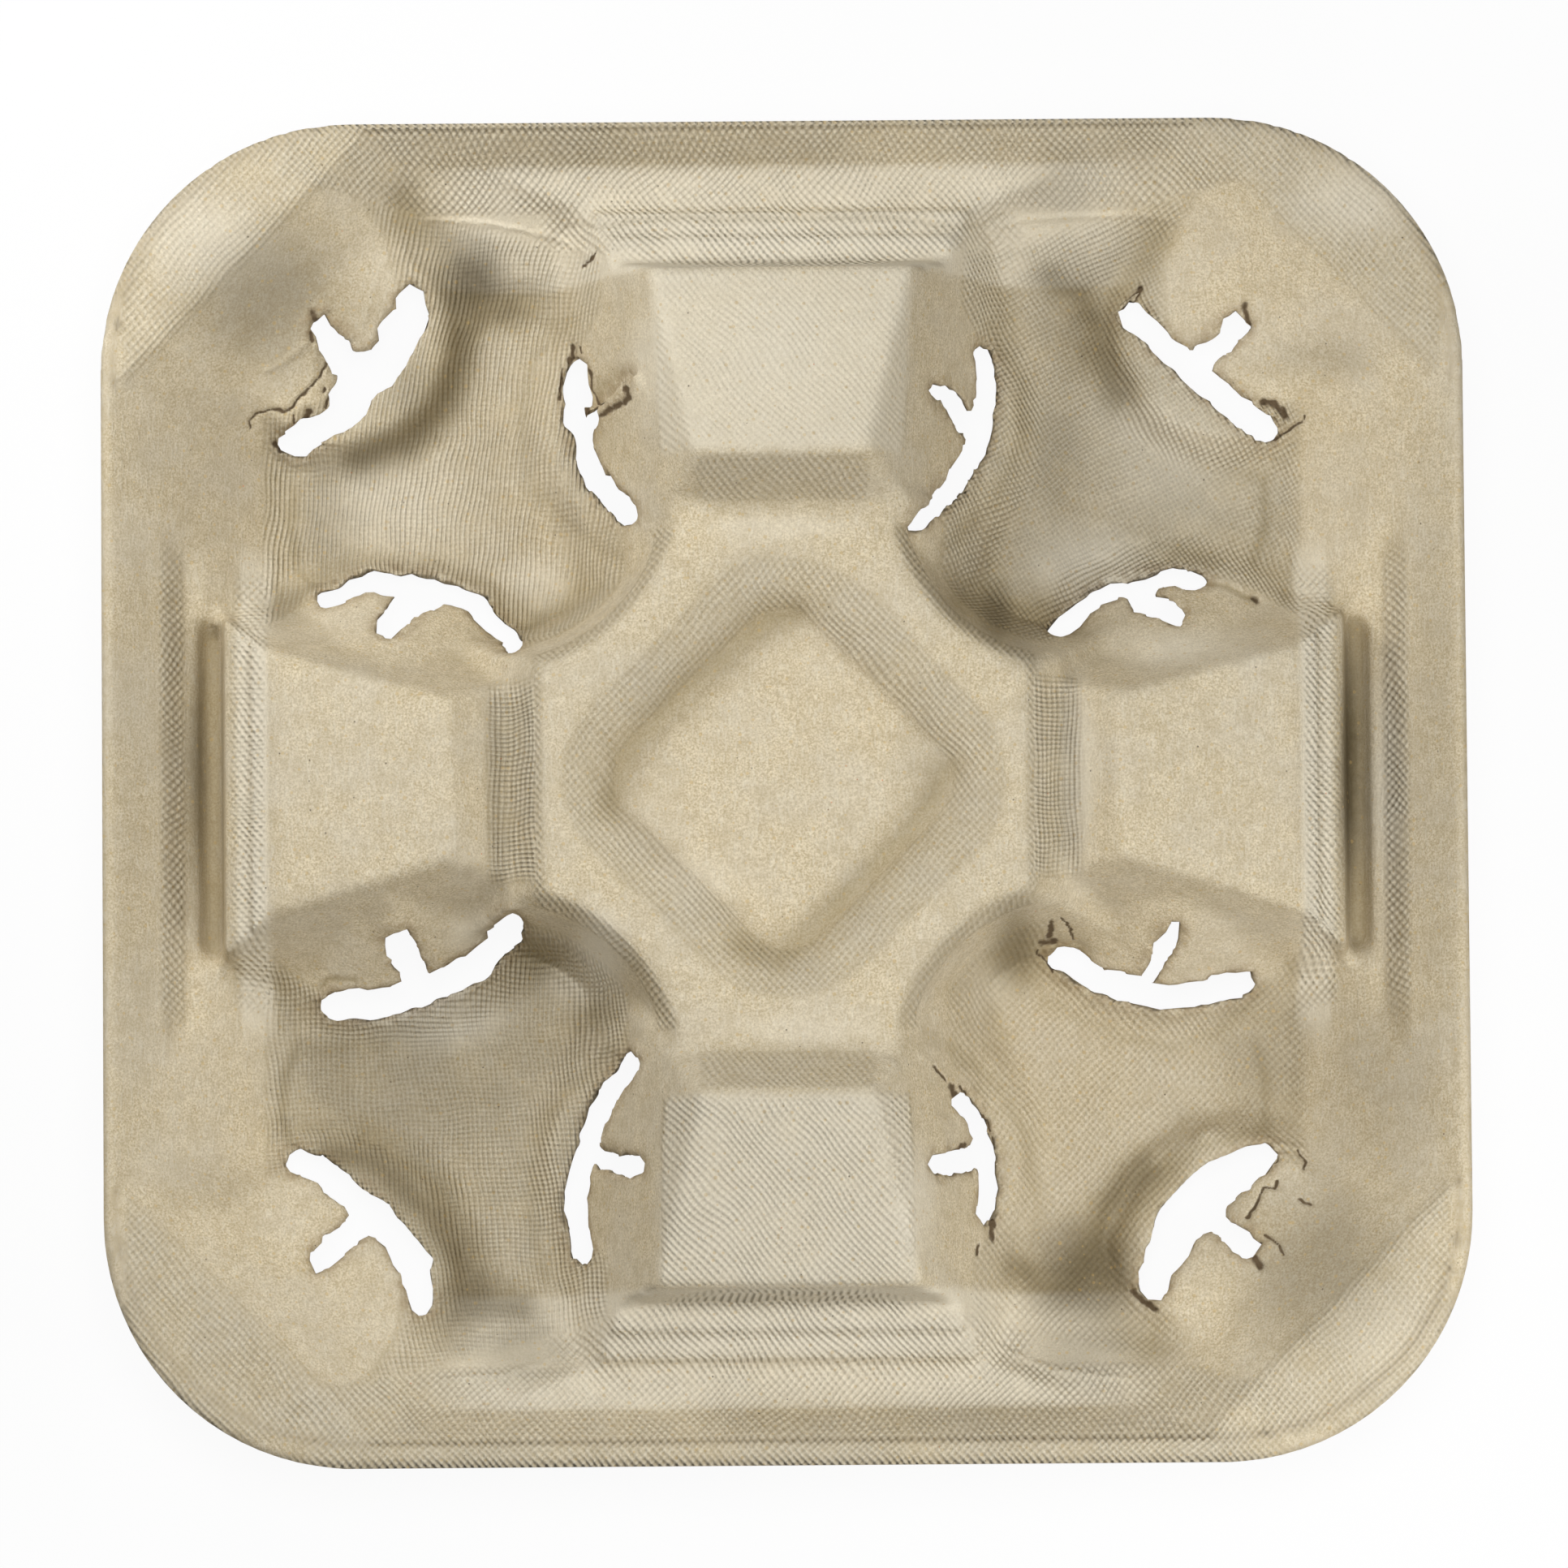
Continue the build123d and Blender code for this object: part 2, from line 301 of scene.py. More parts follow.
def places(mesh):
    """The mesh's points as an array of rows."""
    flat = np.empty(len(mesh.vertices) * 3, dtype=np.float32)
    mesh.vertices.foreach_get("co", flat)
    return flat.reshape(-1, 3)


def set_places(mesh, points):
    mesh.vertices.foreach_set("co", points.astype(np.float32).ravel())
    mesh.update()


def from_cuts(form):
    """How far each point is from the nearest tear and from the rim."""
    points = [vertex.co.copy() for vertex in form.data.vertices]
    return distances(points, walls["tears"]), distances(points, walls["rim"])


walls = cut_walls(solid)
from_tear, from_rim = from_cuts(tray)
print("points within 1 mm of a tear:", int((from_tear < mm).sum()))

# %% [markdown]
# ## Soft folds and crisp ones
#
# The pockets and the dish are deep, and the wet sheet stretched over them in wide, soft folds.
# The treads, the lip and the rim are pressed hard and stay crisp. So each point gets a softness
# from where it lies, and it takes part in as many rounds of smoothing as its softness asks for.

# %% Say how soft each part of the form is
press_shift = 1.5 * mm  # the form's own middle lies this far along Y
round_feet = ((15.5, 57, 25.3), (62.3, 10.6, 28.5), (71.5, 74, 23.2))  # x, y, radius


def ease(value, start, end):
    """0 before start, 1 after end, and a smooth change between. Start may be the larger one."""
    part = np.clip((value - start) / (end - start), 0, 1)
    return part * part * (3 - 2 * part)


def blend(first, second, share):
    """The first value where the share is 0, the second where it is 1."""
    return first + (second - first) * share


def softness(points):
    """How many rounds of smoothing each point takes part in, as a share of all the rounds."""
    across, along = np.abs(points[:, 0]) / mm, np.abs(points[:, 1] - press_shift) / mm
    height = points[:, 2] / mm
    soft = blend(0.12, 0.3, ease(height, 19, 13))
    high_bridge = ease(across, 34, 28) * ease(along, 36, 42)
    soft = blend(soft, 0.16, high_bridge * ease(height, 16, 24))
    low_bridge = ease(along, 30, 24) * ease(across, 38, 42)
    soft = blend(soft, 0.14, low_bridge * ease(height, 12, 18))
    for x, y, radius in round_feet:
        from_foot = np.abs(np.hypot(across - x, along - y) - radius)
        soft = blend(soft, 0.12, ease(from_foot, 6, 3) * ease(height, 16, 12))
    hub = ease(across, 46, 40) * ease(along, 46, 40) * ease(height, 24, 30)
    soft = blend(soft, 0.35, hub)
    treads = ease(along, 76, 79) * ease(across, 50, 42)
    soft = blend(soft, 0.06, treads)
    lip = ease(across, 79, 81) * ease(along, 41, 35)
    soft = blend(soft, 0.04, lip)
    return soft


soft = softness(places(tray.data))
soft = soft * ease(from_tear / mm, 0.6, 5) * ease(from_rim / mm, 1.5, 8)
print("softness from", round(float(soft.min()), 2), "to", round(float(soft.max()), 2))

# %% Smooth the folds
def smooth_folds(form, soft, rounds):
    """Smooth each point in as many of the rounds as its softness asks for."""
    bm = bmesh.new()
    bm.from_mesh(form.data)
    for index in range(rounds):
        wanted = soft > (index + 0.5) / rounds
        chosen = [vertex for vertex, take in zip(bm.verts, wanted) if take]
        bmesh.ops.smooth_vert(
            bm, verts=chosen, factor=0.5, use_axis_x=True, use_axis_y=True, use_axis_z=True)
    bm.to_mesh(form.data)
    bm.free()


smooth_folds(tray, soft, 28)
print("points smoothed at least once:", int((soft > 0.5 / 28).sum()))

# %% Trim the rim
def trim_rim(form, at_rim):
    """Set the outermost points back on the solid's own outline."""
    for vertex, take in zip(form.data.vertices, at_rim):
        if take:
            vertex.co.xy = walls["rim"].find_nearest(vertex.co)[0].xy


at_rim = from_rim < 0.75 * mm
trim_rim(tray, at_rim)
print("points set back on the rim:", int(at_rim.sum()))

# %% [markdown]
# ## How the tears really run
#
# The solid has each tear as a clean slot. A real tear widens where its lines meet, because the
# corners of the sheet there curl back or drop off. Each row below drags the sheet from one place
# to another. The places are pixels of the photograph, so that they can be checked on it, and
# `seen_at` tells where each point of the skin shows there.

# %% Drag the edges of the tears
def seen_at(points):
    """Where each point shows in the photograph, in its pixels."""
    stand, axes = camera.matrix_world.translation, camera.matrix_world.to_3x3()
    from_lens = (points - np.array(stand)) @ np.array(axes)
    flat = from_lens[:, :2] / -from_lens[:, 2:] * camera_distance * pixels_per_mm / mm
    middle = frame_pixels / 2
    seen_x = middle + flat[:, 0] - camera_data.shift_x * frame_pixels
    seen_y = middle - flat[:, 1] + camera_data.shift_y * frame_pixels
    return np.stack((seen_x, seen_y), axis=1)


def swell(far):
    """1 at a place and 0 from a distance of 1 outward, with a smooth change between."""
    return np.clip(1 - far ** 2, 0, 1) ** 2


drags = [
    # far left pocket: the corner tear, then the one by the high bridge, then by the low bridge
    (434, 461, 409, 463), (410, 415, 403, 423), (472, 403, 463, 397), (513, 405, 523, 396),
    (461, 486, 454, 479), (393, 500, 398, 506),
    (714, 541, 722, 541), (714, 606, 709, 611), (732, 483, 737, 490), (755, 468, 758, 474),
    (745, 498, 739, 491), (762, 481, 759, 475), (728, 512, 724, 508),
    (405, 709, 408, 718), (491, 729, 479, 734), (533, 726, 533, 739), (601, 734, 606, 728),
    (624, 785, 633, 783), (501, 693, 501, 700),
    # far right pocket
    (1467, 448, 1478, 447), (1492, 415, 1500, 419), (1414, 461, 1409, 466), (1489, 523, 1486, 529),
    (1416, 415, 1421, 409), (1165, 497, 1168, 487), (1125, 626, 1137, 631), (1158, 601, 1163, 605),
    (1399, 714, 1410, 723), (1379, 737, 1384, 731), (1429, 688, 1427, 695), (1318, 718, 1315, 713),
    (1122, 625, 1132, 634),
    # near left pocket
    (478, 1125, 486, 1136), (591, 1188, 595, 1196), (614, 1112, 617, 1120), (430, 1237, 431, 1229),
    (435, 1467, 414, 1464), (472, 1514, 464, 1520), (491, 1555, 486, 1557), (525, 1545, 533, 1548),
    (745, 1311, 752, 1314), (713, 1419, 722, 1415), (752, 1419, 754, 1426),
    # near right pocket
    (1395, 1190, 1409, 1185), (1422, 1143, 1428, 1144), (1383, 1168, 1390, 1172),
    (1329, 1178, 1332, 1171), (1505, 1193, 1497, 1192), (1174, 1364, 1168, 1368),
    (1419, 1525, 1427, 1529), (1505, 1195, 1496, 1192), (1380, 1530, 1370, 1531),
    (1489, 1405, 1487, 1397), (1514, 1500, 1507, 1504),
]


def drag_edges(form, reach_share=1.7, least_reach=1.5):
    """Make the drags. Each fades out over a share of its own length and at least so many mm."""
    points = places(form.data)
    seen = seen_at(points)
    moved, pull = np.zeros_like(seen), np.zeros(len(seen))
    for from_x, from_y, to_x, to_y in drags:
        step = np.array((to_x - from_x, to_y - from_y))
        reach = reach_share * np.hypot(*step) + least_reach * pixels_per_mm
        near = swell(np.hypot(seen[:, 0] - from_x, seen[:, 1] - from_y) / reach)
        moved += near[:, None] * step
        pull += near
    moved = moved / np.maximum(pull, 1)[:, None] / pixels_per_mm * mm
    points += moved[:, :1] * np.array(right) - moved[:, 1:] * np.array(up)
    set_places(form.data, points)
    return float(np.hypot(moved[:, 0], moved[:, 1]).max()) / mm


print("farthest drag:", round(drag_edges(tray), 1), "mm")

# %% Close one tear and open another
def pinch(form, start, end, gap, reach, taper):
    """Draw the sides of a tear together along a line, or apart where the gap is below zero.

    All is in pixels of the photograph. The taper is how soon the effect is full at the ends.
    """
    points = places(form.data)
    seen = seen_at(points) - np.array(start)
    run = np.subtract(end, start)
    length = np.hypot(*run)
    along_it = seen @ run / length
    beside_it = (seen[:, 0] * run[1] - seen[:, 1] * run[0]) / length
    near = swell(beside_it / reach)
    near = near * ease(along_it, -4, taper) * ease(along_it, length + 4, length - taper)
    inward = np.minimum(1.3 * gap * near, np.abs(beside_it)) / pixels_per_mm * mm
    sideways = np.array(right) * run[1] / length + np.array(up) * run[0] / length
    points -= (np.sign(beside_it) * inward)[:, None] * sideways
    set_places(form.data, points)
    return float(np.abs(inward).max()) / mm


closed = pinch(tray, (731, 509), (784, 461), 11, 35, 6)
opened = pinch(tray, (1403, 1570), (1543, 1415), -9, 70, 55)
print("each side moved at most", round(closed, 1), "mm to close and", round(opened, 1), "to open")

# %% [markdown]
# ## Waves and ragged edges
#
# No two trays dry alike: the walls wave by a few tenths of a millimetre, and the tears are ragged.
# Noise on each point's own place gives both. The raggedness works sideways, and only close to a
# tear, so the rest of the sheet keeps its measured form.

# %% Wave the sheet and fray the tears
wide_wave, short_wave = 17 * mm, 6 * mm
fine_fray, coarse_fray = 2.1 * mm, 5 * mm


def push_points(form, from_tear, from_rim):
    """Wave and fray the form, set it on the table and say how low it had come."""
    mesh = form.data
    points = places(mesh)
    loose = ease(from_tear / mm, 2.6, 0.4)
    inside = ease(from_rim / mm, 0.5, 6)
    for index, vertex in enumerate(mesh.vertices):
        place = Vector(points[index])
        broad = noise.noise(place / wide_wave) * 0.30
        broad += noise.noise(place / short_wave + Vector((7, 0, 0))) * 0.11
        shift = Vector((0, 0, broad * mm * inside[index]))
        if loose[index] > 0:
            ragged = noise.noise_vector(place / fine_fray) * 0.5
            ragged += noise.noise_vector(place / coarse_fray) * 0.5
            shift += Vector((ragged.x, ragged.y, ragged.z * 0.5)) * mm * float(loose[index])
        points[index] += shift
    lowest = points[:, 2].min()
    points[:, 2] = np.maximum(points[:, 2], 0)
    set_places(mesh, points)
    return float(lowest) / mm


lowest = push_points(tray, from_tear, from_rim)
print("lowest point before it was set on the table:", round(lowest, 2), "mm")

# %% [markdown]
# ## A lighter underside
#
# The upper face carries the fine print, and the underside is plain. Decimate merges points where
# a group of vertices lets it, so the underside is thinned and the upper face keeps every point.

# %% Thin the underside
def thin_underside(form, share_kept):
    group = form.vertex_groups.new(name="underside")
    facing_down = -0.1
    below = [vertex.index for vertex in form.data.vertices if vertex.normal.z < facing_down]
    group.add(below, 1.0, "REPLACE")
    thin = form.modifiers.new("thin underside", "DECIMATE")
    thin.ratio = share_kept
    thin.vertex_group = group.name
    thin.vertex_group_factor = 10
    lighter = with_modifiers(form)
    form.modifiers.clear()
    form.vertex_groups.clear()
    form.data = lighter


thin_underside(tray, 0.53)
above = sum(face.normal.z > 0.1 for face in tray.data.polygons)
print("after thinning:", triangles_in(tray), "triangles,", above, "faces on the upper side")

# %% [markdown]
# ## Creases, cracks and burrs
#
# Some lines give the sheet its worked look. A valley is where two walls of a pocket meet, and a
# fold is the soft bend over its edge. A pleat is a short fold up an outer wall. The dish and the
# trench have a line along their feet, and a crease is the foot of a bulge or a round wall. A burr
# is a thin raised seam of pulp that was squeezed between two pieces of screen. A seam is where the
# sheet is folded hard but whole, a crack is where it has split, and a hole is where a crumb of it
# is gone. Each kind has a half width, a depth (a burr's is negative) and a shade, all for the same
# short code.

# %% List the lines, in pixels of the photograph
lines = {
    "valley": (3.2, 1.6, 0.9, [
        [(500, 250), (545, 310), (575, 350), (598, 385), (650, 378)],
        [(1425, 290), (1392, 340), (1372, 390), (1348, 432), (1385, 480)],
        [(450, 1400), (530, 1455), (575, 1530), (585, 1590), (550, 1640)],
        [(1440, 1440), (1388, 1500), (1358, 1560), (1366, 1620), (1410, 1655)],
        [(1190, 738), (1240, 768), (1285, 745)], [(645, 1165), (690, 1195), (735, 1240)],
        [(1235, 1195), (1262, 1160)], [(620, 755), (668, 735)],
    ]),
    "fold": (2.8, 0.8, 1.0, [
        [(628, 378), (592, 384), (572, 408), (564, 450), (540, 505), (498, 548), (440, 568)],
        [(1296, 342), (1330, 360), (1350, 400), (1366, 450), (1378, 484)],
        [(410, 1420), (460, 1430), (532, 1494), (568, 1557), (580, 1602), (640, 1612)],
        [(1258, 1562), (1290, 1586), (1322, 1586), (1340, 1548), (1360, 1490), (1410, 1440)],
    ]),
    "pleat": (0.9, 0.5, 0.8, [
        [(364, 606), (358, 650), (366, 700), (386, 722)],
        [(368, 1288), (350, 1330), (348, 1380), (362, 1412)],
        [(1556, 590), (1560, 640), (1545, 690)], [(1548, 1290), (1560, 1330), (1560, 1385)],
    ]),
    "dish": (2.4, 0.9, 0.8, [
        [(752, 992), (772, 930), (830, 860), (900, 800), (940, 766), (978, 756)],
        [(1166, 952), (1130, 1015), (1060, 1090), (1000, 1150), (960, 1180), (915, 1164)],
    ]),
    # The trench line is painted shade alone: it has no depth.
    "trench": (1.1, 0.0, 0.8, [
        [(250, 770), (246, 950), (256, 1145)], [(1672, 765), (1677, 950), (1668, 1140)],
    ]),
    "crease": (1.3, 0.55, 0.45, [
        [(705, 395), (660, 440), (642, 520), (655, 600), (700, 650), (760, 688)],
        [(1225, 400), (1262, 470), (1262, 540), (1225, 620), (1170, 672)],
        [(780, 1275), (700, 1340), (662, 1400), (655, 1500), (672, 1575)],
        [(1150, 1275), (1225, 1330), (1265, 1400), (1282, 1480), (1262, 1560)],
        [(360, 742), (400, 702), (450, 683), (530, 690), (600, 722), (655, 775)],
        [(1270, 752), (1310, 715), (1380, 685), (1450, 674), (1500, 692)],
        [(380, 1292), (450, 1288), (540, 1276), (620, 1240), (690, 1180)],
        [(1250, 1180), (1290, 1230), (1360, 1270), (1440, 1292), (1500, 1272), (1552, 1220)],
        [(562, 400), (570, 440), (545, 510), (480, 562), (420, 590), (360, 602)],
        [(1340, 430), (1360, 470), (1410, 530), (1480, 570), (1560, 592)],
        [(370, 1385), (440, 1395), (520, 1440), (570, 1510), (586, 1590)],
        [(1560, 1388), (1480, 1410), (1410, 1450), (1370, 1510), (1350, 1590)],
    ]),
    "burr": (0.5, -0.4, 0.0, [
        [(527, 271), (560, 272), (600, 276), (640, 283), (680, 292), (712, 306), (736, 321)],
        [(1225, 283), (1262, 272), (1330, 267), (1400, 266), (1445, 271)],
        [(545, 1700), (620, 1693), (665, 1680), (700, 1662), (735, 1632)],
        [(1200, 1640), (1240, 1664), (1300, 1688), (1390, 1698)],
        [(330, 456), (350, 447), (362, 436), (379, 423)],
        [(1132, 1296), (1150, 1312), (1168, 1330)],
        [(1524, 434), (1513, 445), (1512, 458), (1528, 478), (1552, 492)],
        [(1488, 713), (1506, 714), (1528, 722)], [(1565, 1408), (1582, 1410), (1600, 1416)],
    ]),
    "seam": (0.45, 0.35, 0.9, [
        [(700, 282), (712, 278), (740, 279), (765, 275), (790, 271), (820, 268), (845, 267),
         (865, 269), (885, 271), (905, 270), (925, 269), (980, 269), (1040, 268), (1080, 268),
         (1110, 270), (1140, 273), (1160, 277), (1190, 278), (1212, 277), (1222, 270), (1236, 263)],
        [(1487, 718), (1505, 720), (1522, 727), (1534, 735), (1548, 739)],
        [(436, 1208), (405, 1206), (392, 1216)],
    ]),
    "crack": (0.3, 0.6, 1.0, [
        [(308, 528), (306, 518), (316, 511), (330, 505), (345, 504), (350, 507), (360, 501),
         (368, 492), (378, 482), (390, 470), (398, 455), (402, 447)],
        [(381, 409), (385, 421)], [(361, 513), (363, 522)], [(400, 479), (397, 483)],
        [(400, 501), (406, 488)],
        [(715, 428), (717, 433)], [(692, 455), (690, 492)], [(736, 310), (728, 320), (718, 330)],
        [(724, 453), (729, 462), (729, 478), (735, 488), (738, 497)],
        [(1607, 512), (1605, 519), (1597, 525), (1580, 534), (1570, 542)],
        [(1182, 1338), (1195, 1358), (1215, 1380), (1223, 1400), (1226, 1415)],
        [(1205, 1533), (1203, 1546)], [(1150, 1314), (1165, 1330)],
        [(1309, 1132), (1318, 1143), (1323, 1156)],
        [(1278, 1172), (1290, 1185), (1297, 1197)],
        [(1574, 1455), (1572, 1464), (1557, 1463), (1552, 1475), (1545, 1490), (1537, 1501)],
        [(1600, 1418), (1608, 1432), (1606, 1441)], [(1560, 1522), (1575, 1535), (1582, 1546)],
        [(1600, 1478), (1616, 1486)],
    ]),
    "hole": (0.62, 1.0, 1.0, [
        [(386, 384), (389, 397)], [(378, 513), (381, 506)], [(338, 546), (348, 555)],
        [(706, 427), (705, 436), (703, 446)], [(722, 498), (724, 512)],
        [(740, 511), (752, 504), (765, 498), (775, 490), (771, 476)],
        [(1406, 354), (1398, 366), (1386, 376)], [(1533, 375), (1536, 388), (1538, 402)],
        [(1556, 495), (1570, 497), (1580, 505), (1586, 514)], [(1171, 1338), (1177, 1350)],
        [(1178, 1418), (1188, 1411)], [(1222, 1505), (1223, 1526)], [(1296, 1137), (1293, 1153)],
        [(1283, 1161), (1300, 1159)], [(1560, 1433), (1572, 1428)], [(1546, 1549), (1553, 1561)],
        [(1396, 1590), (1408, 1602), (1424, 1613)], [(1545, 738), (1549, 741)],
    ]),
}


def from_line(seen, line):
    """How far each place is from a bent line, in millimetres."""
    nearest = np.full(len(seen), np.inf)
    for start, end in zip(line[:-1], line[1:]):
        start, run = np.array(start), np.subtract(end, start)
        share = np.clip((seen - start) @ run / (run @ run), 0, 1)
        nearest = np.minimum(nearest, np.hypot(*(seen - start - share[:, None] * run).T))
    return nearest / pixels_per_mm


def nearness(seen, kind):
    """1 on the lines of a kind, falling to 0 within about twice its half width."""
    half_width, _, _, drawn = lines[kind]
    nearest = np.min([from_line(seen, line) for line in drawn], axis=0)
    return np.exp(-(nearest / half_width) ** 2)


print("lines:", {kind: len(drawn) for kind, (_, _, _, drawn) in lines.items()})

# %% Refine the skin along the narrow lines
def refine(form, kinds, margin):
    """Split the upper faces near the lines of some kinds in three each way."""
    bm = bmesh.new()
    bm.from_mesh(form.data)
    seen = seen_at(np.array([face.calc_center_median() for face in bm.faces]))
    close = np.zeros(len(seen), dtype=bool)
    for kind in kinds:
        half_width, _, _, drawn = lines[kind]
        for line in drawn:
            close |= from_line(seen, line) < half_width + margin
    chosen = [face for face, take in zip(bm.faces, close) if take and face.normal.z > 0.05]
    edges = list(dict.fromkeys(edge for face in chosen for edge in face.edges))
    before = len(bm.faces)
    bmesh.ops.subdivide_edges(bm, edges=edges, cuts=2, use_grid_fill=True)
    bmesh.ops.triangulate(bm, faces=[face for face in bm.faces if len(face.verts) > 4])
    print("faces added along the lines:", len(bm.faces) - before)
    bm.to_mesh(form.data)
    bm.free()


refine(tray, ("burr", "seam", "crack", "hole"), 0.7)

# %% Press the lines into the skin
points = places(tray.data)
facing_up = np.array([vertex.normal.z > 0 for vertex in tray.data.vertices])
wobble = np.array([noise.noise_vector(Vector(point) / (1.3 * mm)) for point in points])[:, :2]
seen = seen_at(points) + wobble * 0.35 * pixels_per_mm
shade, cracked = np.zeros(len(points)), np.zeros(len(points))
# Besides its depth, each kind but a crack or a hole lays painted shade along its line, by its
# shade.
for kind, (half_width, depth, darkness, drawn) in lines.items():
    near = nearness(seen, kind) * facing_up
    points[:, 2] -= near * depth * mm * ease(points[:, 2] / mm, 1.2 + depth, 4 + depth)
    if kind in ("crack", "hole"):
        cracked = np.maximum(cracked, near)
    else:
        shade = np.maximum(shade, near * darkness)
set_places(tray.data, np.clip(points, *solid_box))
from_tear, from_rim = from_cuts(tray)
print("the tray has", triangles_in(tray), "triangles")

# %% [markdown]
# ## Where the screens left their print
#
# The die is lined with pieces of woven wire, and each leaves its own print: rows in the left
# pockets, faintly crossed, a turned weave in the far right pocket, and a slanting twill in the
# near right one, the dish, the platforms, the long walls, the treads, the lip and the crescents at
# the corners. The bare parts of the die leave a smooth, grainy face. Each print is a share from 0
# to 1 on the points of the skin, which the finish reads as an attribute.

# %% Mark the prints
round_bulges = ((12, 61, 20.5, 22.5), (63, 8, 24.5, 26.5), (79, 79, 17, 21))  # x, y, radii


def print_shares(points):
    """The shares of rows, of crossing rows, of a turned weave and of twill, for each point."""
    x, y, z = points[:, 0] / mm, (points[:, 1] - press_shift) / mm, points[:, 2] / mm
    across, along = np.abs(x), np.abs(y)
    right_side, near_side = ease(x, -2, 2), ease(y, 2, -2)

    pocket = ease(z, 21, 16) * ease(across, 83, 80) * ease(along - 0.24 * across, 78.3, 75.5)
    for middle_x, middle_y, inside, outside in round_bulges:
        from_middle = np.hypot(across - middle_x, along - middle_y)
        pocket = pocket * ease(from_middle, inside, outside)
    neck = ease(across, 38, 39) * ease(across, 47, 45) * ease(along, 17, 13) * ease(z, 33, 31)
    rows = pocket * (1 - right_side) + 0.9 * neck
    crossing = pocket * (1 - right_side) * (0.25 + 0.3 * near_side) + 0.9 * neck
    weave = pocket * right_side * (1 - near_side)

    long_wall = ease(along, 79, 80.5) * ease(across, 84, 66) * ease(along - 0.24 * across, 76, 78)
    flank = ease(across + 0.55 * z, 45, 41) * ease(along, 98, 97)
    twill = long_wall * np.maximum(ease(along, 90, 92), flank)
    dish = ease(across, 40, 38) * ease(along, 40, 38) * ease(z, 33.7, 32.8) * ease(z, 26.7, 28)
    twill = twill + 0.55 * pocket * right_side * near_side + 0.7 * dish
    platform = ease(across, 20, 19) * ease(along, 49, 51) * ease(along, 79.5, 78.5)
    twill = twill + platform * ease(z, 32, 34) * (0.4 + 0.5 * near_side)
    inner = ease(across, 14, 12.5) * ease(along, 42, 43.5) * ease(along, 50, 48.5) * ease(z, 33, 35)
    twill = twill + 0.6 * inner
    lip = ease(across, 80.7, 81.6) * ease(along, 36, 32) * ease(across, 87, 86)
    rim_strip = ease(np.abs(across - 96), 2.2, 1.2) * ease(along, 42, 30)
    twill = twill + lip * (0.7 + 0.3 * right_side) + rim_strip
    crossing = crossing + 0.35 * lip
    crescent = ease(across + along, 164, 168) * ease(across, 104, 102) * ease(along, 103, 101)
    twill = twill + 0.7 * crescent
    return {"rows": rows, "crossing": crossing, "weave": weave, "twill": twill}


def keep_share(form, name, values):
    """Keep a share for each point, under a name that the finish can read."""
    attribute = form.data.attributes.new(name, "FLOAT", "POINT")
    attribute.data.foreach_set("value", np.clip(values, 0, 1).astype(np.float32))


def hollows(points, radius):
    """How far each point lies below the mean height of the sheet around it, in millimetres."""
    half = 112  # of a grid of squares, 1 mm wide, a little larger than the tray
    column = np.clip((points[:, 0] / mm + half).astype(int), 0, 2 * half - 1)
    line = np.clip((points[:, 1] / mm + half).astype(int), 0, 2 * half - 1)
    top = np.zeros((2 * half, 2 * half))
    np.maximum.at(top, (line, column), points[:, 2] / mm)
    there = np.zeros_like(top)
    there[line, column] = 1
    window = np.ones(2 * radius + 1)

    def spread(grid):
        for axis in (0, 1, 0, 1):
            grid = np.apply_along_axis(np.convolve, axis, grid, window, "same")
        return grid

    mean_height = spread(top) / np.maximum(spread(there), 1e-6)
    return (mean_height - top)[line, column]


spots = places(tray.data)
across, along = np.abs(spots[:, 0]) / mm, np.abs(spots[:, 1] - press_shift) / mm
treads = ease(along, 79, 80) * ease(across, 60, 45) * ease(along, 98, 97)
lips = ease(across, 80, 81) * ease(along, 41, 35) * ease(across, 86, 85)
platforms = ease(across, 21, 19) * ease(along, 49, 51) * ease(along, 80, 78)
platforms = platforms * ease(spots[:, 2] / mm, 33, 35)
# These flats are pressed hard, and they are also painted paler, as painted light on the flat tops.
lit_pressed_flats = np.max([treads, lips, platforms * 0.9], axis=0)
# Painted shade: points below the sheet around them, and the lines, are darkened towards brown; the
# flat tops are left out.
low = ease(hollows(spots, 4), 0.3, 5.5) * (1 - lit_pressed_flats)
keep_share(tray, "cavity_shade", np.maximum(low, shade))
keep_share(tray, "split", cracked)
keep_share(tray, "pressed_and_lit", lit_pressed_flats)
for name, values in print_shares(spots).items():
    keep_share(tray, name, values)
    print(name, "covers", round(100 * float((values > 0.5).mean())), "% of the skin")
keep_share(tray, "torn", ease(from_tear / mm, 2.2, 0.3))
keep_share(tray, "trimmed", ease(from_rim / mm, 1.2, 0.4))
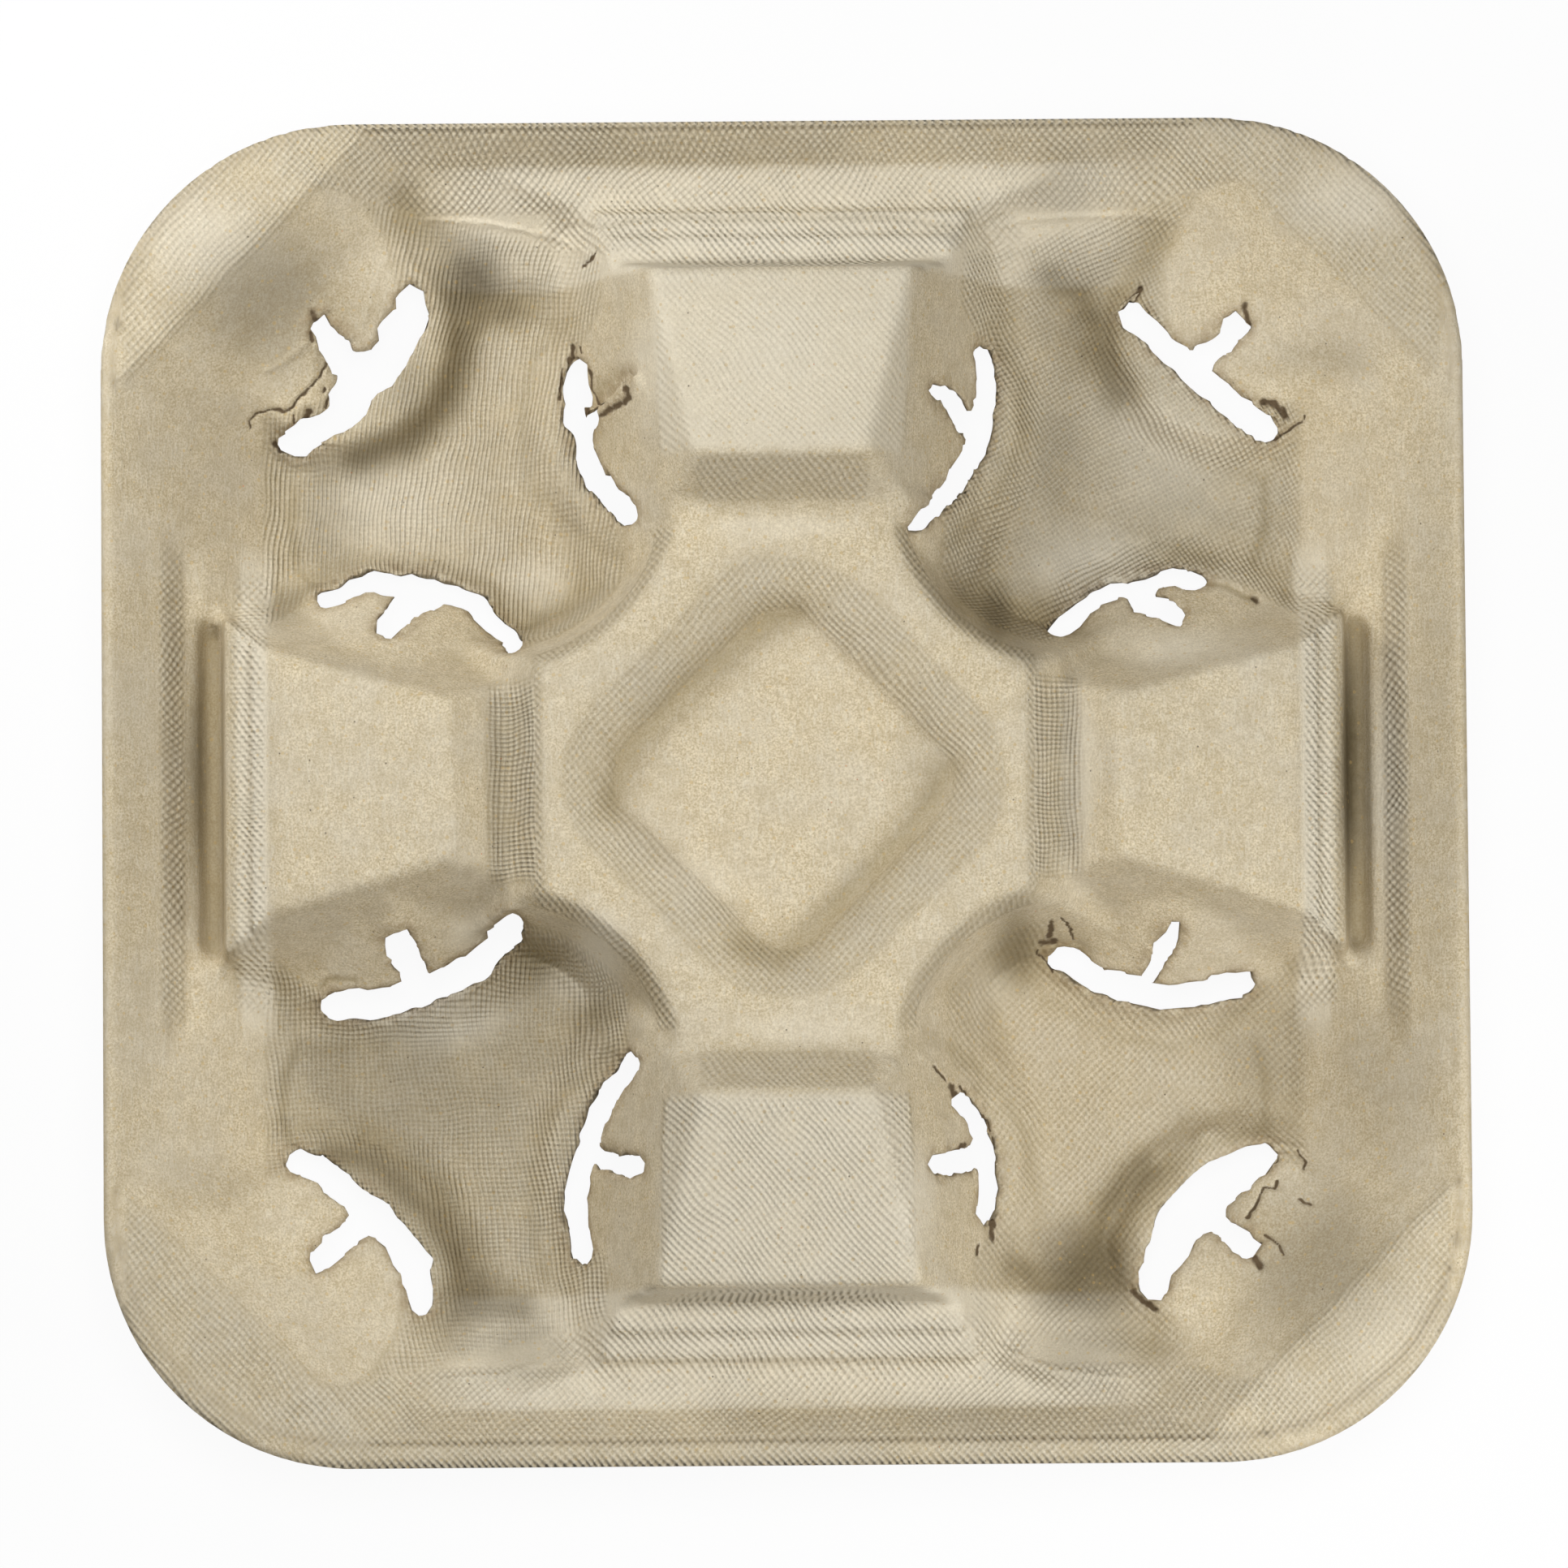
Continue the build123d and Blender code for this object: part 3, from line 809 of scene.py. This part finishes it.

# %% [markdown]
# ## Painted shade in the folds and painted light on patches
#
# The deep folds are painted brown, as painted shade, and some patches are painted pale, as painted
# light. Each row is a place in pixels of the photograph, a reach across and along, and how dark
# the painted shade is there, or how pale the painted light where the number is below zero.

# %% Paint shade into the folds and light onto patches
painted_spots = [
    (582, 352, 52, 64, 0.7), (505, 478, 36, 52, 0.25), (400, 655, 50, 80, 0.25),
    (335, 375, 130, 120, 0.45), (352, 745, 40, 30, 0.35), (240, 570, 130, 150, 0.25),
    (1328, 385, 58, 110, 0.3), (1300, 560, 45, 90, 0.2), (1228, 757, 24, 44, 0.45),
    (1625, 441, 90, 34, 0.25), (1310, 240, 60, 60, 0.25), (580, 1596, 64, 50, 0.45),
    (640, 1665, 70, 46, 0.35), (414, 1335, 50, 90, 0.25), (532, 1500, 40, 80, 0.2),
    (260, 1460, 90, 46, 0.2), (1335, 1562, 80, 80, 0.72), (1330, 1665, 80, 50, 0.3),
    (1250, 1165, 34, 66, 0.45), (1560, 1300, 80, 120, 0.3), (1620, 1550, 130, 140, 0.4),
    (1705, 1340, 110, 150, 0.3), (480, 1360, 130, 110, 0.2), (1662, 950, 17, 200, 0.9),
    (241, 950, 17, 190, 0.6), (648, 970, 24, 160, 0.15), (1131, 938, 40, 60, 0.15),
    (650, 1190, 40, 40, 0.2), (1255, 800, 30, 34, 0.2), (170, 900, 50, 480, 0.2),
    (1768, 1000, 50, 480, 0.22), (1345, 695, 100, 58, -0.7), (540, 1250, 100, 48, -0.8),
    (738, 1180, 40, 66, -0.7), (590, 1150, 50, 34, -0.4), (1711, 980, 22, 220, -0.4),
    (1430, 560, 110, 120, -0.4), (860, 1085, 60, 40, -0.25), (1480, 620, 80, 60, -0.2),
    (255, 300, 90, 70, -0.4), (1665, 245, 90, 60, -0.4), (1690, 1640, 70, 70, -0.25),
    (1460, 800, 130, 34, -0.35), (1328, 950, 26, 160, -0.45), (660, 720, 50, 40, -0.4),
    (715, 1210, 60, 40, -0.5), (1220, 1215, 40, 40, -0.3), (480, 620, 110, 80, -0.35),
    (800, 440, 30, 90, -0.35), (1130, 1480, 30, 90, -0.35), (970, 648, 100, 20, -0.35),
    (970, 1270, 100, 20, -0.25), (970, 298, 220, 26, -0.35), (970, 1645, 240, 30, -0.3),
    (970, 440, 110, 90, -0.12),
]
painted_shade, painted_light = np.zeros(len(spots)), np.zeros(len(spots))
# A number above zero is painted shade, and one below zero is painted light.
for x, y, reach_x, reach_y, depth in painted_spots:
    far = np.hypot((seen[:, 0] - x) / reach_x, (seen[:, 1] - y) / reach_y)
    near = ease(far, 1.25, 0.15) * facing_up
    painted_shade = np.maximum(painted_shade, near * depth)
    painted_light = np.maximum(painted_light, -near * depth)
# Painted shade also runs along the folds.
painted_shade = np.maximum(painted_shade, nearness(seen, "fold") * facing_up * 0.4)
keep_share(tray, "painted_shade", painted_shade)
keep_share(tray, "painted_light", painted_light)
print("brown over", round(100 * float((painted_shade > 0.2).mean()), 1), "% of the skin")

# %% [markdown]
# ## The fibre
#
# Recycled fibre is a warm grey with fine yellow and brown grain, a few dark specks, and thin
# fibres that catch the light. The print of the wires is relief, so it goes into the bump, and a
# little of it also tints the colour, because the hollows of the print hold the finer, browner
# pulp. The relief is written in millimetres, so that each part of it can be checked against the
# photograph: the wires are 0.76 mm apart in the pockets and 0.92 mm on the platforms.

# %% Write the finish of the fibre
fibre = Finish("moulded_fibre")
place = fibre.add("ShaderNodeTexCoord", out=3)
where_mm = fibre.add("ShaderNodeVectorMath", {"operation": "SCALE"}, {0: place, "Scale": 1000})


def grain(size, detail=3.0, roughness=0.55, at=where_mm):
    """Noise from 0 to 1 whose blotches are about `size` millimetres wide."""
    return fibre.add("ShaderNodeTexNoise", {}, {"Vector": at, "Scale": 1 / size, "Detail": detail,
                                                 "Roughness": roughness})


def share(name):
    return fibre.add("ShaderNodeAttribute", {"attribute_name": name}, out=2)


def between(value, start, end):
    """0 at start and 1 at end, with a smooth change between."""
    return fibre.add("ShaderNodeMapRange", {"interpolation_type": "SMOOTHSTEP"},
                     {"Value": value, "From Min": start, "From Max": end})


def wave(distance, pitch):
    """A wave from 0 to 1 along a distance in millimetres."""
    turn = fibre.add("ShaderNodeMath", {"operation": "SINE"}, {0: distance * (2 * pi / pitch)})
    return turn * 0.5 + 0.5


# %% Draw the prints of the wires
wire_pitch, twill_pitch = 0.76, 0.92
slant, skew = radians(41), radians(29)
row_bow = 0.0011
wire_bend, bend_width = 3.2, 14
drift = fibre.add("ShaderNodeTexNoise", {},
                  {"Vector": where_mm, "Scale": 1 / bend_width, "Detail": 1.0}, out=1)
bent = fibre.add("ShaderNodeVectorMath", {"operation": "MULTIPLY_ADD"},
                 {0: drift, 1: (wire_bend, wire_bend, 0), 2: where_mm})
east_mm = fibre.add("ShaderNodeSeparateXYZ", {}, {"Vector": bent})
north_mm = east_mm.beside(1)

row_wires = wave(east_mm - north_mm * north_mm * row_bow, wire_pitch)
crossing_wires = wave(north_mm, wire_pitch)
turned_rows = wave(east_mm * cos(skew) + north_mm * sin(skew), wire_pitch)
turned_crossing = wave(north_mm * cos(skew) - east_mm * sin(skew), wire_pitch)
twill_wires = wave(east_mm * cos(slant) + north_mm * sin(slant), twill_pitch)
twill_weft = wave(east_mm * cos(slant) - north_mm * sin(slant), twill_pitch)

patchy = between(grain(5, 2), 0.3, 0.55)
rows, crossing, weave, twill = share("rows"), share("crossing"), share("weave"), share("twill")
print_relief = (rows * row_wires + crossing * crossing_wires) * 0.27
print_relief = print_relief + weave * (turned_rows + turned_crossing) * 0.22
print_relief = print_relief + twill * (twill_wires * 0.24 + twill_weft * 0.21)
print_relief = print_relief * (patchy * 0.4 + 0.6)
printed = print_relief * 3.1
print("wires", wire_pitch, "and", twill_pitch, "mm apart")

# %% Add fibres, grain and specks
fine = grain(0.36, 3, 0.75)
coarse = grain(1.6, 3, 0.6)
blotch = grain(11, 3, 0.5)
stretched = fibre.add("ShaderNodeVectorMath", {"operation": "MULTIPLY"},
                      {0: where_mm, 1: (1, 0.25, 1)})
fibres = between(grain(0.5, 2, 0.5, stretched), 0.52, 0.66)
crumbs = fibre.add("ShaderNodeTexVoronoi", {}, {"Vector": where_mm, "Scale": 0.42})
crumb_pick = fibre.add("ShaderNodeSeparateColor", {}, {0: crumbs.beside(1)})
crumb_size = crumb_pick * 0.10 - 0.035
specks = between(crumb_size - crumbs, -0.02, 0.02)
flecks = fibre.add("ShaderNodeTexVoronoi", {}, {"Vector": where_mm, "Scale": 0.8})
fleck_pick = fibre.add("ShaderNodeSeparateColor", {}, {0: flecks.beside(1)}, out=1)
yellow = between(fleck_pick * 0.3 - flecks, 0.0, 0.08) * fine
rag_size = crumb_pick.beside(2) * 0.9 - 0.82
rags = between(rag_size - crumbs, -0.01, 0.02)
print("nodes so far:", len(fibre.tree.nodes))

# %% Mix the colours
warm_pulp, pale_pulp = (0.465, 0.375, 0.228, 1), (0.775, 0.68, 0.495, 1)
grey_pulp, dull_pulp = (0.60, 0.55, 0.45, 1), (0.47, 0.385, 0.24, 1)
# The second white is painted light, for the pale patches.
fibre_white, painted_light_white = (0.78, 0.73, 0.60, 1), (0.88, 0.82, 0.68, 1)
# The pressed white is partly the smoother pressed face and partly painted light on the flat tops.
lit_pressed_white = (0.83, 0.77, 0.63, 1)
print_brown, print_white = (0.36, 0.29, 0.17, 1), (0.82, 0.76, 0.60, 1)
# Both browns on the next line are painted shade: the first in the hollows and along the lines, the
# second in the deep folds.
cavity_shade_brown, painted_shade_brown = (0.32, 0.25, 0.125, 1), (0.105, 0.08, 0.038, 1)
straw_yellow, rag_red = (0.55, 0.38, 0.14, 1), (0.62, 0.20, 0.07, 1)
speck_black = (0.10, 0.075, 0.05, 1)
torn_brown, rim_brown = (0.30, 0.21, 0.11, 1), (0.22, 0.16, 0.09, 1)
# The split brown is painted shade inside cracks and holes.
split_shade_brown = (0.13, 0.09, 0.05, 1)


def tinted(share_of_tint, base, tint):
    """Base turned towards a tint by a share."""
    return fibre.add("ShaderNodeMix", {"data_type": "RGBA"}, {0: share_of_tint, 6: base, 7: tint},
                     out=2)


colour = tinted(between(fine * 0.85 + coarse * 0.15, 0.34, 0.66), warm_pulp, pale_pulp)
colour = tinted(between(blotch, 0.35, 0.7) * 0.35, colour, grey_pulp)
colour = tinted(between(grain(3.4, 3, 0.6), 0.42, 0.66) * 0.3, colour, dull_pulp)
colour = tinted(fibres * 0.25, colour, fibre_white)
in_print = between(rows + crossing + weave + twill, 0.05, 0.6)
colour = tinted((1 - printed) * 0.42 * in_print, colour, print_brown)
colour = tinted(printed * 0.3 * in_print, colour, print_white)
cavity_shade, pressed_and_lit = share("cavity_shade"), share("pressed_and_lit")
# Painted shade in the hollows and along the lines.
colour = tinted(cavity_shade * 0.6, colour, cavity_shade_brown)
# Partly the smoother pressed face, partly painted light on the flat tops.
colour = tinted(pressed_and_lit * 0.5, colour, lit_pressed_white)
# Painted light: the pale patches turn the colour pale.
colour = tinted(share("painted_light"), colour, painted_light_white)
# Painted shade: the brown share turns the colour to a deep brown in the folds.
colour = tinted(share("painted_shade") * (coarse * 0.3 + 0.85), colour, painted_shade_brown)
colour = tinted(yellow * 0.8, colour, straw_yellow)
colour = tinted(rags * 0.7, colour, rag_red)
colour = tinted(specks * 0.8, colour, speck_black)
torn, trimmed = share("torn"), share("trimmed")
colour = tinted(torn * between(coarse, 0.35, 0.6) * 0.5, colour, torn_brown)
colour = tinted(trimmed * between(fine, 0.4, 0.6) * 0.35, colour, rim_brown)
# Painted shade: cracks and holes are painted near black, as the shade inside them.
split = between(share("split") * (grain(1.1, 2) + 0.45), 0.3, 0.85)
colour = tinted(split, colour, split_shade_brown)

relief = print_relief + fine * 0.09 + coarse * 0.04 + fibres * 0.03 + torn * coarse * 0.3
bumped = fibre.add("ShaderNodeBump", {}, {"Strength": 1.0, "Distance": 0.001, "Height": relief})
shader = fibre.add("ShaderNodeBsdfPrincipled", {}, {
    "Base Color": colour, "Roughness": fine * 0.1 + 0.85, "Normal": bumped,
    "Specular IOR Level": 0.25,
})
fibre.add("ShaderNodeOutputMaterial", {}, {"Surface": shader})
tray.data.materials.append(fibre.material)
print("nodes in the fibre's finish:", len(fibre.tree.nodes))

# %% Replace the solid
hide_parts("carrier_tray")
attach(tray, "root")

bpy.context.scene.view_settings.view_transform = "Standard"
